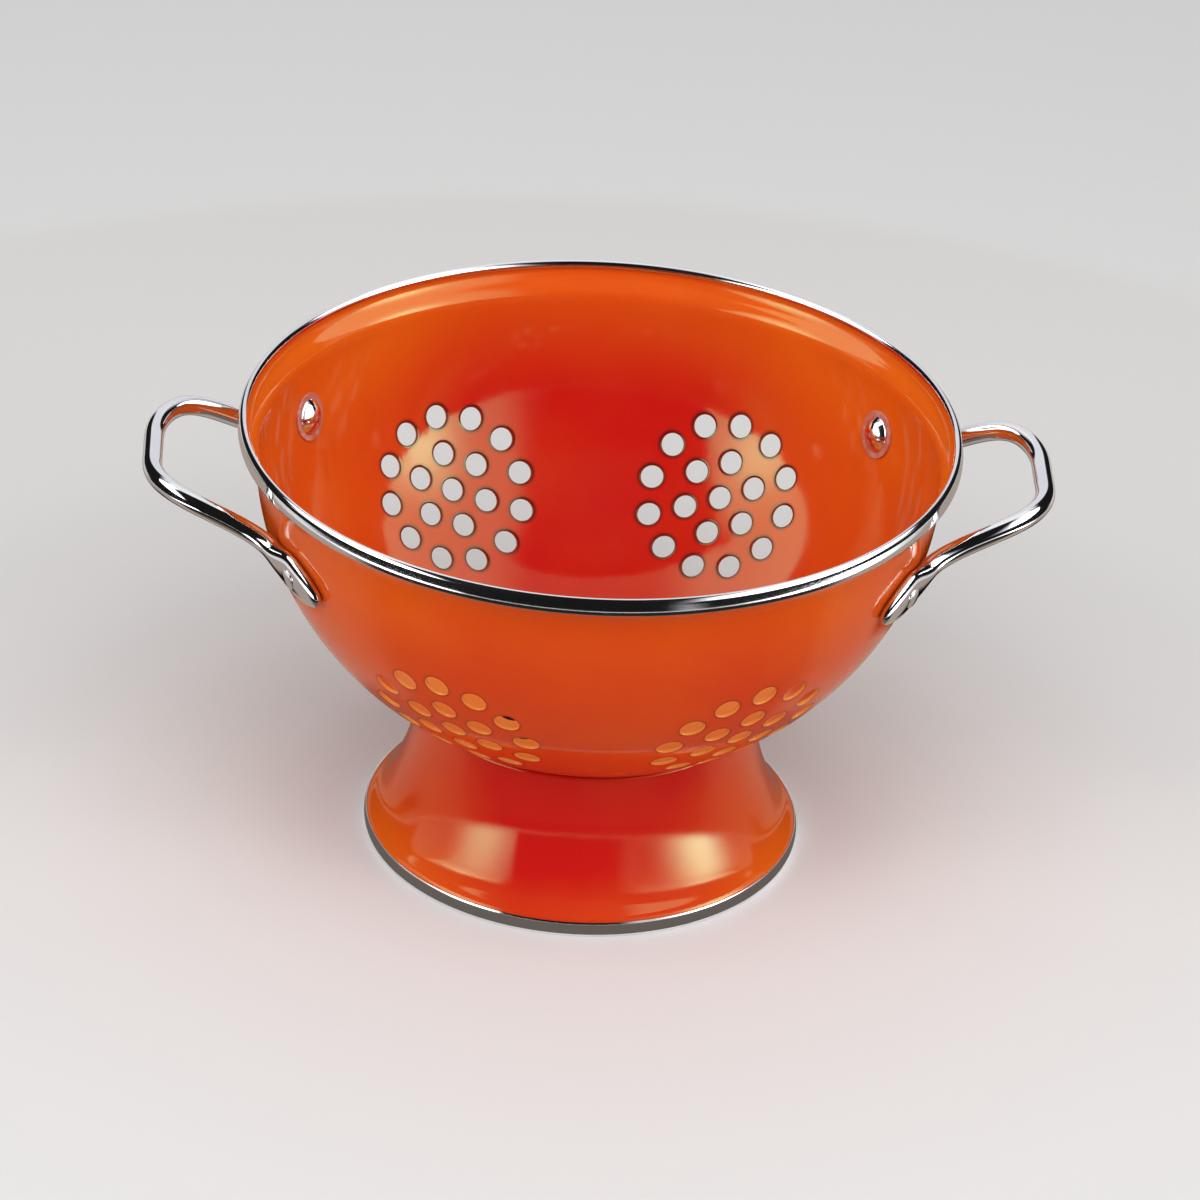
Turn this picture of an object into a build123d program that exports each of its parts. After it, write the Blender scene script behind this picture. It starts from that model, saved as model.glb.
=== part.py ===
from build123d import *
import os
from math import asin, atan, cos, degrees, radians, sin, sqrt

os.makedirs("parts", exist_ok=True)

# Colander on a flared pedestal foot. Millimetres, +Z up, the origin on the table below the centre.
# The handles stand out along X, and the hole clusters lie to the front and the back, along Y.

# Overall sizes
height = 155.0
rim_radius = 120.0

# Bowl: a half ellipse of pressed steel that flares into a straight lip
flare_width = 6.0
flare_drop = 3.0
equator_drop = 10.0
bowl_depth = 107.0
bowl_wall = 1.2
lip_straight = 4.5

# Steel trim crimped over the bowl's lip
rim_trim_width = 3.2
rim_trim_height = 5.6
rim_trim_inner_leg = 0.7
rim_trim_hem = 0.4

# Foot: a flange under the bowl, a waist and a skirt that flares to its own lip
foot_radius = 73.8
foot_wall = 1.2
shoulder_radius = 58.5
shoulder_bend = 2.0
flange_width = 10.5
neck_inset = 0.5
neck_drop = 7.3
# Down the skirt: share of the drop from neck to trim, share of the flare from neck to lip
skirt_shares = ((0.35, 0.11), (0.56, 0.28), (0.76, 0.51), (0.91, 0.77))
neck_lean_share = 0.08
lip_flare_share = 0.5

# Steel trim under the foot's edge, which stands on the table
foot_trim_width = 2.6
foot_trim_height = 5.6
foot_trim_inner_leg = 2.6
foot_trim_sole = 0.9
foot_trim_edge = 0.6

# Punched holes: each cluster is one hole inside two rings of holes, and hangs below the rim
hole_diameter = 7.8
ring_counts = (6, 12)
ring_pitch = 12.8
cluster_drop = 71.7
cluster_azimuths = (-60.0, -120.0, 60.0, 120.0)

# Rivets and the thin washers under their heads
rivet_drop = 30.5
rivet_azimuth = 29.0
shank_diameter = 5.0
shank_clearance = 0.2
head_diameter = 12.4
head_rise = 3.2
head_edge = 0.5
tail_diameter = 7.2
tail_rise = 0.9
washer_diameter = 16.4
washer_thickness = 0.8

# Handles: a round bar whose ends are forged into long oval pads that lie along the wall
bar_diameter = 6.6
grip_stand_off = 27.7
grip_drop = 15.4
grip_straight = 18.2
elbow_stand_off = 18.0
elbow_span = 62.6
landing_azimuth = 21.5
landing_drop = 27.2
landing_lean = 15.0
pad_tip_azimuth = 35.8
rivet_in_pad_share = 0.5
pad_width = 14.4
pad_stand_off = 2.0
pad_half_thickness = 3.0
# Each pad section: way from the landing to the tip, share of the width, share of the thickness
pad_shares = (
    (0.24, 0.70, 0.98),
    (0.45, 1.00, 1.00),
    (0.64, 0.98, 0.97),
    (0.82, 0.78, 0.88),
    (0.94, 0.46, 0.68),
    (1.00, 0.18, 0.36),
)

# One overrun for every cut that passes through a face
overrun = 3.0

# Places that follow from the sizes
bowl_radius = rim_radius - flare_width
equator_height = height - equator_drop
flare_height = equator_height - flare_drop
rim_sheet = (rim_trim_width - bowl_wall) / 2
lip_radius = rim_radius - rim_sheet
lip_top = height - rim_sheet
foot_sheet = (foot_trim_width - foot_wall) / 2
foot_lip_radius = foot_radius - foot_sheet
flange_radius = shoulder_radius - flange_width
neck_radius = shoulder_radius - neck_inset
shoulder_height = equator_height - bowl_depth * sqrt(1 - (shoulder_radius / bowl_radius) ** 2)
neck_height = shoulder_height - neck_drop
cluster_height = height - cluster_drop
cluster_radius = ring_pitch * len(ring_counts)
rivet_height = height - rivet_drop
landing_height = height - landing_drop
landing_rise = landing_height - rivet_height
pad_length = bowl_radius * radians(pad_tip_azimuth - landing_azimuth)
pad_slope = degrees(atan(landing_rise / (pad_length * rivet_in_pad_share)))
grip_height = height - grip_drop
grip_reach = rim_radius + grip_stand_off
elbow_reach = rim_radius + elbow_stand_off
shank_hole = shank_diameter + shank_clearance
pad_thickness = pad_stand_off + pad_half_thickness
head_seat = -(bowl_wall + washer_thickness)
rivet_azimuths = {
    "right_back": rivet_azimuth,
    "right_front": -rivet_azimuth,
    "left_back": 180 - rivet_azimuth,
    "left_front": 180 + rivet_azimuth,
}


def ellipse_radius(level, swell=0.0):
    """Radius of the bowl's outer surface at a height, with the surface moved outwards by swell."""
    share = (equator_height - level) / (bowl_depth + swell)
    return (bowl_radius + swell) * sqrt(1 - share**2)


def ellipse_angle_at_radius(radius, swell=0.0):
    """Angle on the bowl's ellipse, below the equator, of the point at a radius."""
    return -degrees(asin(sqrt(1 - (radius / (bowl_radius + swell)) ** 2)))


def ellipse_angle_at_height(level, swell=0.0):
    """Angle on the bowl's ellipse, below the equator, of the point at a height."""
    return -degrees(asin((equator_height - level) / (bowl_depth + swell)))


def cap_arc(diameter, base, rise, way):
    """Arc from a round cap's top, on the axis, to its edge: way is 1 for a cap upwards, -1 downwards."""
    ball_radius = ((diameter / 2) ** 2 + rise**2) / (2 * rise)
    half_angle = degrees(asin(diameter / 2 / ball_radius))
    return CenterArc((0, base + way * (rise - ball_radius)), ball_radius, 90 * way, -way * half_angle)


def wall_plane(azimuth, level):
    """Plane on the bowl's outer wall: X sideways along the wall, Y up the wall, Z outwards."""
    turn = radians(azimuth)
    share = (equator_height - level) / bowl_depth
    slope = bowl_radius / bowl_depth * share / sqrt(1 - share**2)
    radius = ellipse_radius(level)
    return Plane(
        origin=(radius * cos(turn), radius * sin(turn), level),
        x_dir=(-sin(turn), cos(turn), 0),
        z_dir=Vector(cos(turn), sin(turn), -slope).normalized(),
    )


def bowl_core(swell):
    """Solid half ellipsoid that fills the bowl's outer surface moved outwards by swell."""
    with BuildPart() as core:
        with BuildSketch(Plane.XZ):
            with BuildLine():
                curve = EllipticalCenterArc(
                    (0, equator_height), bowl_radius + swell, bowl_depth + swell, start_angle=-90, arc_size=90
                )
                Polyline(curve @ 1, (0, equator_height), curve @ 0)
            make_face()
        revolve(axis=Axis.Z)
    return core.part


outer_core = bowl_core(0.0)
inner_core = bowl_core(-bowl_wall)
washer_core = bowl_core(-bowl_wall - washer_thickness)


# Bowl
with BuildPart() as bowl:
    with BuildSketch(Plane.XZ):
        with BuildLine():
            outer_curve = EllipticalCenterArc(
                (0, equator_height),
                bowl_radius,
                bowl_depth,
                start_angle=-90,
                arc_size=90 + ellipse_angle_at_height(flare_height),
            )
            outer_flare = Spline(
                outer_curve @ 1, (lip_radius, lip_top - lip_straight), tangents=(outer_curve % 1, (0, 1))
            )
            inner_curve = EllipticalCenterArc(
                (0, equator_height),
                bowl_radius - bowl_wall,
                bowl_depth - bowl_wall,
                start_angle=-90,
                arc_size=90 + ellipse_angle_at_height(flare_height, -bowl_wall),
            )
            inner_flare = Spline(
                inner_curve @ 1,
                (lip_radius - bowl_wall, lip_top - lip_straight),
                tangents=(inner_curve % 1, (0, 1)),
            )
            Polyline(
                outer_flare @ 1,
                (lip_radius, lip_top),
                (lip_radius - bowl_wall, lip_top),
                inner_flare @ 1,
            )
            Line(outer_curve @ 0, inner_curve @ 0)
        make_face()
    revolve(axis=Axis.Z)
    cluster_planes = [wall_plane(azimuth, cluster_height) for azimuth in cluster_azimuths]
    bowl_bottom = (0, 0, equator_height - bowl_depth)
    cluster_planes.append(Plane(origin=bowl_bottom, x_dir=(1, 0, 0), z_dir=(0, 0, -1)))
    for plane in cluster_planes:
        with BuildSketch(plane):
            Circle(hole_diameter / 2)
            for ring, count in enumerate(ring_counts, start=1):
                with PolarLocations(ring * ring_pitch, count, start_angle=90):
                    Circle(hole_diameter / 2)
        extrude(amount=cluster_radius, both=True, mode=Mode.SUBTRACT)
    for azimuth in rivet_azimuths.values():
        with BuildSketch(wall_plane(azimuth, rivet_height)):
            Circle(shank_hole / 2)
        extrude(amount=overrun, both=True, mode=Mode.SUBTRACT)
bowl.part.label = "bowl"
export_step(bowl.part, "parts/bowl.step")


# Rim trim: half round on top, a long outer leg and a short inner leg over the lip
with BuildPart() as rim_trim:
    with BuildSketch(Plane.XZ):
        with BuildLine():
            crown_height = height - rim_trim_width / 2
            crown = CenterArc((rim_radius - rim_trim_width / 2, crown_height), rim_trim_width / 2, 0, 180)
            Polyline(
                crown @ 1,
                (rim_radius - rim_trim_width, crown_height - rim_trim_inner_leg),
                (lip_radius - bowl_wall, crown_height - rim_trim_inner_leg),
                (lip_radius - bowl_wall, lip_top),
                (lip_radius, lip_top),
                (lip_radius, height - rim_trim_height),
                (rim_radius, height - rim_trim_height),
                crown @ 0,
            )
        make_face()
    revolve(axis=Axis.Z)
    hem_edges = rim_trim.edges().filter_by(GeomType.CIRCLE).group_by(Axis.Z)[0].sort_by(SortBy.RADIUS)
    fillet(hem_edges[-1], radius=rim_trim_hem)
rim_trim.part.label = "rim_trim"
export_step(rim_trim.part, "parts/rim_trim.step")


# Foot: one sheet from the flange welded under the bowl to the lip inside the foot trim
def skirt_points(inset):
    """Points of the skirt from the neck down to the trim, moved inwards by inset."""
    points = [(neck_radius - inset, neck_height)]
    for drop_share, flare_share in skirt_shares:
        radius = neck_radius + (foot_lip_radius - neck_radius) * flare_share
        points.append((radius - inset, neck_height - (neck_height - foot_trim_height) * drop_share))
    points.append((foot_lip_radius - inset, foot_trim_height))
    return points


skirt_tangents = ((-neck_lean_share, -1), (lip_flare_share, -1))

with BuildPart() as foot:
    with BuildSketch(Plane.XZ):
        with BuildLine():
            shoulder_angle = ellipse_angle_at_radius(shoulder_radius)
            flange_angle = ellipse_angle_at_radius(flange_radius)
            flange_top = EllipticalCenterArc(
                (0, equator_height),
                bowl_radius,
                bowl_depth,
                start_angle=flange_angle,
                arc_size=shoulder_angle - flange_angle,
            )
            skirt_outside = Spline(flange_top @ 1, *skirt_points(0.0), tangents=skirt_tangents)
            inner_shoulder_angle = ellipse_angle_at_radius(shoulder_radius - foot_wall, foot_wall)
            inner_flange_angle = ellipse_angle_at_radius(flange_radius, foot_wall)
            flange_underside = EllipticalCenterArc(
                (0, equator_height),
                bowl_radius + foot_wall,
                bowl_depth + foot_wall,
                start_angle=inner_flange_angle,
                arc_size=inner_shoulder_angle - inner_flange_angle,
            )
            skirt_inside = Spline(flange_underside @ 1, *skirt_points(foot_wall), tangents=skirt_tangents)
            Line(flange_top @ 0, flange_underside @ 0)
            Polyline(
                skirt_outside @ 1,
                (foot_lip_radius, foot_trim_sole),
                (foot_lip_radius - foot_wall, foot_trim_sole),
                skirt_inside @ 1,
            )
        make_face()
    revolve(axis=Axis.Z)
    shoulder_edge = foot.edges().filter_by(GeomType.CIRCLE).sort_by(Axis.Z)[-1]
    fillet(shoulder_edge, radius=shoulder_bend)
foot.part.label = "foot"
export_step(foot.part, "parts/foot.step")


# Foot trim: a channel around the foot's lip with a narrow flat sole
with BuildPart() as foot_trim:
    with BuildSketch(Plane.XZ):
        with BuildLine():
            Polyline(
                (foot_radius, 0),
                (foot_radius, foot_trim_height),
                (foot_lip_radius, foot_trim_height),
                (foot_lip_radius, foot_trim_sole),
                (foot_lip_radius - foot_wall, foot_trim_sole),
                (foot_lip_radius - foot_wall, foot_trim_inner_leg),
                (foot_radius - foot_trim_width, foot_trim_inner_leg),
                (foot_radius - foot_trim_width, 0),
                close=True,
            )
        make_face()
    revolve(axis=Axis.Z)
    sole_edges = foot_trim.edges().filter_by(GeomType.CIRCLE).group_by(Axis.Z)[0]
    fillet(sole_edges, radius=foot_trim_edge)
foot_trim.part.label = "foot_trim"
export_step(foot_trim.part, "parts/foot_trim.step")


# Handles: half of the bar is swept from the landing to the middle of the grip, then mirrored
def pad_plane(way, stand_off):
    """Section plane of a pad at a way from landing to tip: X across the pad, Z along it to the tip."""
    azimuth = landing_azimuth + (pad_tip_azimuth - landing_azimuth) * way
    level = landing_height - landing_rise * way / rivet_in_pad_share
    on_wall = wall_plane(azimuth, level)
    along = on_wall.x_dir * cos(radians(pad_slope)) - on_wall.y_dir * sin(radians(pad_slope))
    across = on_wall.y_dir * cos(radians(pad_slope)) + on_wall.x_dir * sin(radians(pad_slope))
    return Plane(origin=on_wall.origin + on_wall.z_dir * stand_off, x_dir=across, z_dir=along)


pad_start = pad_plane(0, bar_diameter / 2)
landing = pad_start.origin
landing_side = Vector(cos(radians(landing_azimuth)), sin(radians(landing_azimuth)), 0)
leaving = landing_side * sin(radians(landing_lean)) - pad_start.z_dir * cos(radians(landing_lean))
landing_plane = Plane(origin=landing, x_dir=pad_start.x_dir, z_dir=leaving)

with BuildPart() as handle_right:
    with BuildLine() as half_bar:
        leg = Spline(
            landing,
            (elbow_reach, elbow_span / 2, grip_height),
            (grip_reach, grip_straight / 2, grip_height),
            tangents=(leaving, (0, -1, 0)),
        )
        Line(leg @ 1, (grip_reach, 0, grip_height))
    with BuildSketch(landing_plane):
        Circle(bar_diameter / 2)
    sweep(path=half_bar.wires()[0])
    with BuildSketch(landing_plane):
        Circle(bar_diameter / 2)
    for way, width_share, thickness_share in pad_shares:
        with BuildSketch(pad_plane(way, pad_stand_off)):
            Ellipse(pad_width / 2 * width_share, pad_half_thickness * thickness_share)
    loft()
    mirror(about=Plane.XZ)
    add(outer_core, mode=Mode.SUBTRACT)
    for azimuth in (rivet_azimuth, -rivet_azimuth):
        with BuildSketch(wall_plane(azimuth, rivet_height)):
            Circle(shank_hole / 2)
        extrude(amount=pad_thickness + overrun, both=True, mode=Mode.SUBTRACT)
handle_right.part.label = "handle_right"
export_step(handle_right.part, "parts/handle_right.step")

with BuildPart() as handle_left:
    add(mirror(handle_right.part, about=Plane.YZ))
handle_left.part.label = "handle_left"
export_step(handle_left.part, "parts/handle_left.step")


# Washers: thin discs that follow the bowl's inner wall under each rivet head
def build_washer(azimuth):
    """Washer around the rivet at an azimuth, lying on the bowl's inner wall."""
    with BuildPart() as washer:
        with BuildSketch(wall_plane(azimuth, rivet_height)):
            Circle(washer_diameter / 2)
            Circle(shank_hole / 2, mode=Mode.SUBTRACT)
        extrude(amount=head_seat - overrun)
        add(inner_core, mode=Mode.INTERSECT)
        add(washer_core, mode=Mode.SUBTRACT)
    return washer.part


# Rivets: a domed head inside the bowl, a shank through wall and pad, a low dome on the pad
def build_rivet(azimuth, handle_part):
    """Rivet at an azimuth, seated on its washer inside and on the handle's pad outside."""
    seat = wall_plane(azimuth, rivet_height)
    section = Plane(origin=seat.origin, x_dir=seat.x_dir, z_dir=-seat.y_dir)
    axis = Axis(seat.origin, seat.z_dir)
    with BuildPart() as head:
        with BuildSketch(section):
            with BuildLine():
                dome = cap_arc(head_diameter, head_seat - head_edge, head_rise - head_edge, -1)
                Polyline(dome @ 1, (head_diameter / 2, 0), (0, 0), dome @ 0)
            make_face()
        revolve(axis=axis)
        add(washer_core, mode=Mode.INTERSECT)
    with BuildPart() as tail:
        with BuildSketch(section):
            with BuildLine():
                dome = cap_arc(tail_diameter, pad_thickness, tail_rise, 1)
                Polyline(dome @ 1, (tail_diameter / 2, pad_half_thickness), (0, pad_half_thickness), dome @ 0)
            make_face()
        revolve(axis=axis)
        add(handle_part, mode=Mode.SUBTRACT)
    with BuildPart() as rivet:
        with BuildSketch(seat.offset(head_seat - head_rise / 2)):
            Circle(shank_diameter / 2)
        extrude(amount=head_rise / 2 - head_seat + pad_thickness)
        add(head.part)
        add(tail.part)
    return rivet.part


for place, azimuth in rivet_azimuths.items():
    handle = handle_right if place.startswith("right") else handle_left
    washer_part = build_washer(azimuth)
    washer_part.label = f"washer_{place}"
    export_step(washer_part, f"parts/washer_{place}.step")
    rivet_part = build_rivet(azimuth, handle.part)
    rivet_part.label = f"rivet_{place}"
    export_step(rivet_part, f"parts/rivet_{place}.step")
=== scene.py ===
"""Looks for a footed enamel colander: bowl, foot, edge trims, bar handles, rivets and washers."""

import enum
import logging
import math
from dataclasses import dataclass

import bpy
import numpy as np
from mathutils import Matrix, Vector
from mathutils.geometry import delaunay_2d_cdt


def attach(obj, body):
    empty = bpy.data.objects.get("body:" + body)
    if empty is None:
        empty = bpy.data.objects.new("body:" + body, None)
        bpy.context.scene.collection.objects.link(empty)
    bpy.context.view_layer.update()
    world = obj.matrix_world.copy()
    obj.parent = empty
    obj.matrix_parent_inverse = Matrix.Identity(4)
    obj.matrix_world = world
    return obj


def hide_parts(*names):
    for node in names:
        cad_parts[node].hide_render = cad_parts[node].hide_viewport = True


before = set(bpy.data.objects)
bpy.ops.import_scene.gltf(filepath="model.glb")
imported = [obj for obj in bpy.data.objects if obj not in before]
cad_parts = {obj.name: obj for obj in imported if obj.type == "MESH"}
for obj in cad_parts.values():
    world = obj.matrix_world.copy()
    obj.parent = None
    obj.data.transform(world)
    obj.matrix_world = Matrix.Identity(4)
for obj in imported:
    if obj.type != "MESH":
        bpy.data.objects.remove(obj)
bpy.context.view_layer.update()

Array = np.ndarray
Pair = tuple[float, float]
Triple = tuple[float, float, float]
Colour = tuple[float, float, float, float]
Piece = bpy.types.Object
MM = 0.001
SHEET = 1.2 * MM
RIVET_HEIGHT = 124.5 * MM
RIVETS = {"right_back": 29.0, "left_back": 151.0, "left_front": 209.0, "right_front": -29.0}
WHITE = (1.0, 1.0, 1.0, 1.0)
BODY = "root"
log = logging.getLogger("colander")


class Slot(enum.Enum):
    """Material slots of the record."""

    ENAMEL = "red_enamel"
    TRIM = "polished_trim"
    BAR = "plated_wire"
    RIVET = "rivet_steel"
    WASHER = "washer_plastic"


class Side(enum.Enum):
    """The side of the bowl that a handle stands on."""

    RIGHT = 1
    LEFT = -1


# Meshes


def unit(vectors: Array) -> Array:
    """Vectors divided by their lengths."""
    return vectors / np.linalg.norm(vectors, axis=-1, keepdims=True)


def eased(share: Array) -> Array:
    """Smooth rise 3 e^2 - 2 e^3, with e the share kept between 0 and 1."""
    e = np.clip(share, 0.0, 1.0)
    return e**2 * (3 - 2 * e)


def turns(count: int) -> Array:
    """Angles of even steps round a circle."""
    return np.linspace(0.0, 2 * math.pi, count, endpoint=False)


def round_z(radius: Array, angle: Array, height: Array | float) -> Array:
    """Points about Z: x = r cos a, y = r sin a, z = h."""
    x, y = radius * np.cos(angle), radius * np.sin(angle)
    return np.stack([x, y, height + 0 * x], axis=-1)


def travelled(curve: Array) -> Array:
    """Length travelled along a polyline at each of its points."""
    return np.concatenate([[0.0], np.cumsum(np.linalg.norm(np.diff(curve, axis=0), axis=1))])


def read_at(places: Array, known: Array, table: Array) -> Array:
    """Rows of a table at places, by straight steps between the known places of its rows."""
    return np.stack([np.interp(places, known, column) for column in table.T], axis=1)


def spaced(table: Array, step: float) -> Array:
    """Rows set evenly along the polyline that the first columns of a table give, up to three."""
    way = travelled(table[:, :3])
    return read_at(np.linspace(0.0, way[-1], max(2, math.ceil(way[-1] / step) + 1)), way, table)


def trimmed(curve: Array, start: float, end: float) -> Array:
    """A polyline without a length at its start and a length at its end."""
    way = travelled(curve)
    low, high = start, way[-1] - end
    return read_at(np.concatenate([[low], way[(way > low) & (way < high)], [high]]), way, curve)


def chain(corners: list[Pair]) -> list[Array]:
    """Straight curves from each corner to the next."""
    return [np.array(pair) for pair in zip(corners[:-1], corners[1:])]


def rounded_loop(curves: list[Array], bends: tuple, step: float, bend_points: int = 7) -> Array:
    """Closed outline of curves whose joins are rounded.

    Each corner C between a cut curve's end A and the next one's start B becomes
    (1 - t)^2 A + 2 t (1 - t) C + t^2 B, with t from 0 to 1.

    Args:
        curves: Polylines in order, each starting where the one before ends.
        bends: Length taken off both curves at the end of each curve.
        step: Longest distance between two points along a curve.
        bend_points: Points worked out in each corner.

    Returns:
        The outline's points, one a row, without the first one repeated.
    """
    t = np.linspace(0.0, 1.0, bend_points)[1:-1, None]
    parts = [spaced(trimmed(c, bends[i - 1], bends[i]), step) for i, c in enumerate(curves)]
    outline = []
    for index, part in enumerate(parts):
        corner, following = curves[index][-1], parts[(index + 1) % len(parts)][0]
        if bends[index] > 0:
            outline += [part, (1 - t) ** 2 * part[-1] + 2 * t * (1 - t) * corner + t**2 * following]
        else:
            outline.append(part[:-1])
    return np.concatenate(outline)


def cubic(t: Array, start: Array, leave: Array, end: Array, arrive: Array) -> Array:
    """The cubic with a place and a slope at t = 0 and at t = 1."""
    return (
        (2 * t**3 - 3 * t**2 + 1) * start
        + (t**3 - 2 * t**2 + t) * leave
        + (3 * t**2 - 2 * t**3) * end
        + (t**3 - t**2) * arrive
    )


def clamped_spline(points: Array, first: Array, last: Array, samples: int) -> Array:
    """Smooth curve through points, with a unit direction at each end.

    Between two points the curve is the cubic with their places and slopes. The inner slopes s solve
    h1 s0 + 2 (h0 + h1) s1 + h0 s2 = 3 (h1 d0 + h0 d1), with h the distance between two points and d
    the mean slope there, so that the bend is steady at each point.

    Args:
        points: Points that the curve passes, one a row.
        first: Unit direction at the first point.
        last: Unit direction at the last point.
        samples: Points worked out between two neighbours.

    Returns:
        The curve's points, one a row.
    """
    gaps = np.linalg.norm(np.diff(points, axis=0), axis=1)
    slopes = np.diff(points, axis=0) / gaps[:, None]
    system = np.eye(len(points))
    target = np.zeros_like(points)
    target[0], target[-1] = first, last
    inner = np.arange(1, len(points) - 1)
    system[inner, inner - 1] = gaps[1:]
    system[inner, inner] = 2 * (gaps[:-1] + gaps[1:])
    system[inner, inner + 1] = gaps[:-1]
    target[inner] = 3 * (gaps[1:, None] * slopes[:-1] + gaps[:-1, None] * slopes[1:])
    slope = np.linalg.solve(system, target)[:, None]
    t = np.linspace(0.0, 1.0, samples, endpoint=False)[None, :, None]
    gap = gaps[:, None, None]
    curve = cubic(t, points[:-1, None], slope[:-1] * gap, points[1:, None], slope[1:] * gap)
    return np.concatenate([curve.reshape(-1, points.shape[1]), points[-1:]])


def grid_quads(rows: int, columns: int, closed_rows: bool, closed_columns: bool) -> Array:
    """Quads of a grid of points, numbered row by row, whose normals point along column x row."""
    row = np.arange(rows if closed_rows else rows - 1)[:, None]
    column = np.arange(columns if closed_columns else columns - 1)[None, :]
    here, above = row * columns, (row + 1) % rows * columns
    after = (column + 1) % columns
    return np.stack([here + column, here + after, above + after, above + column], axis=-1).reshape(-1, 4)


def new_piece(name: str, points: Array, quads: Array, triangles: Array | None = None) -> Piece:
    """A smooth mesh object at the origin.

    Args:
        name: Name of the object and its mesh.
        points: Places in metres, on a grid or one a row.
        quads: Four point numbers a row, anticlockwise seen from outside.
        triangles: Three point numbers a row, in the same way.

    Returns:
        The object, linked to the scene.
    """
    places = points.reshape(-1, 3)
    threes = np.zeros((0, 3), int) if triangles is None else triangles
    loops = np.concatenate([quads.reshape(-1), threes.reshape(-1)])
    starts = np.concatenate([np.arange(len(quads)) * 4, len(quads) * 4 + np.arange(len(threes)) * 3])
    mesh = bpy.data.meshes.new(name)
    mesh.vertices.add(len(places))
    mesh.vertices.foreach_set("co", places.astype(np.float32).reshape(-1))
    mesh.loops.add(len(loops))
    mesh.loops.foreach_set("vertex_index", loops.astype(np.int32))
    mesh.polygons.add(len(starts))
    mesh.polygons.foreach_set("loop_start", starts.astype(np.int32))
    mesh.update(calc_edges=True)
    mesh.validate()
    mesh.shade_smooth()
    piece = bpy.data.objects.new(name, mesh)
    bpy.context.scene.collection.objects.link(piece)
    return piece


def store(piece: Piece, **numbers: Array) -> None:
    """Keeps one number for each point of a piece, as an attribute of each given name."""
    for name, values in numbers.items():
        attribute = piece.data.attributes.new(name, "FLOAT", "POINT")
        attribute.data.foreach_set("value", values.astype(np.float32).reshape(-1))


def revolved(name: str, outline: Array, segments: int) -> Piece:
    """A closed outline turned about Z, given as radius and height, anticlockwise."""
    points = round_z(outline[:, 0, None], turns(segments), outline[:, 1, None])
    return new_piece(name, points, grid_quads(len(outline), segments, True, True))


def capped_tube(name: str, rings: Array, first: Array, last: Array) -> Piece:
    """Rings of points joined in order, each end drawn to one point.

    Args:
        name: Name of the piece.
        rings: Points as (ring, place round it, xyz), anticlockwise about the way travelled.
        first: Point that closes the first ring.
        last: Point that closes the last ring.

    Returns:
        The piece.
    """
    count, around = rings.shape[:2]
    points = np.concatenate([rings.reshape(-1, 3), [first], [last]])
    place = np.arange(around)
    after = (place + 1) % around
    end_row = (count - 1) * around
    start_fan = np.stack([after, place, np.full(around, count * around)], axis=1)
    end_fan = np.stack([end_row + place, end_row + after, np.full(around, count * around + 1)], axis=1)
    quads = grid_quads(count, around, False, True)
    return new_piece(name, points, quads, np.concatenate([start_fan, end_fan]))


# Shaders


class Value:
    """One shader value. Sums and products on it add the Math nodes that work them out."""

    def __init__(self, shader: "Shader", socket: bpy.types.NodeSocket) -> None:
        """Keeps the value's output socket and the shader that it belongs to."""
        self.shader = shader
        self.socket = socket

    def _math(self, operation: str, first: "Value | float", second: "Value | float") -> "Value":
        """The result of a Math node on two values."""
        return self.shader.add("ShaderNodeMath", {"operation": operation}, {0: first, 1: second})

    def __add__(self, other: "Value | float") -> "Value":
        """Sum."""
        return self._math("ADD", self, other)

    def __sub__(self, other: "Value | float") -> "Value":
        """Difference."""
        return self._math("SUBTRACT", self, other)

    def __rsub__(self, other: "Value | float") -> "Value":
        """Reflected difference."""
        return self._math("SUBTRACT", other, self)

    def __mul__(self, other: "Value | float") -> "Value":
        """Product."""
        return self._math("MULTIPLY", self, other)

    __radd__ = __add__
    __rmul__ = __mul__

    def clamped(self) -> "Value":
        """The value kept between 0 and 1."""
        return self.shader.add("ShaderNodeClamp", {}, {"Value": self})

    def step(self, low: float, high: float) -> "Value":
        """0 up to low, 1 from high, and a smooth rise between them."""
        inputs = {"Value": self, "From Min": low, "From Max": high}
        return self.shader.add("ShaderNodeMapRange", {"interpolation_type": "SMOOTHSTEP"}, inputs)


Input = Value | float | Colour
Owner = bpy.types.Material | bpy.types.World


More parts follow.
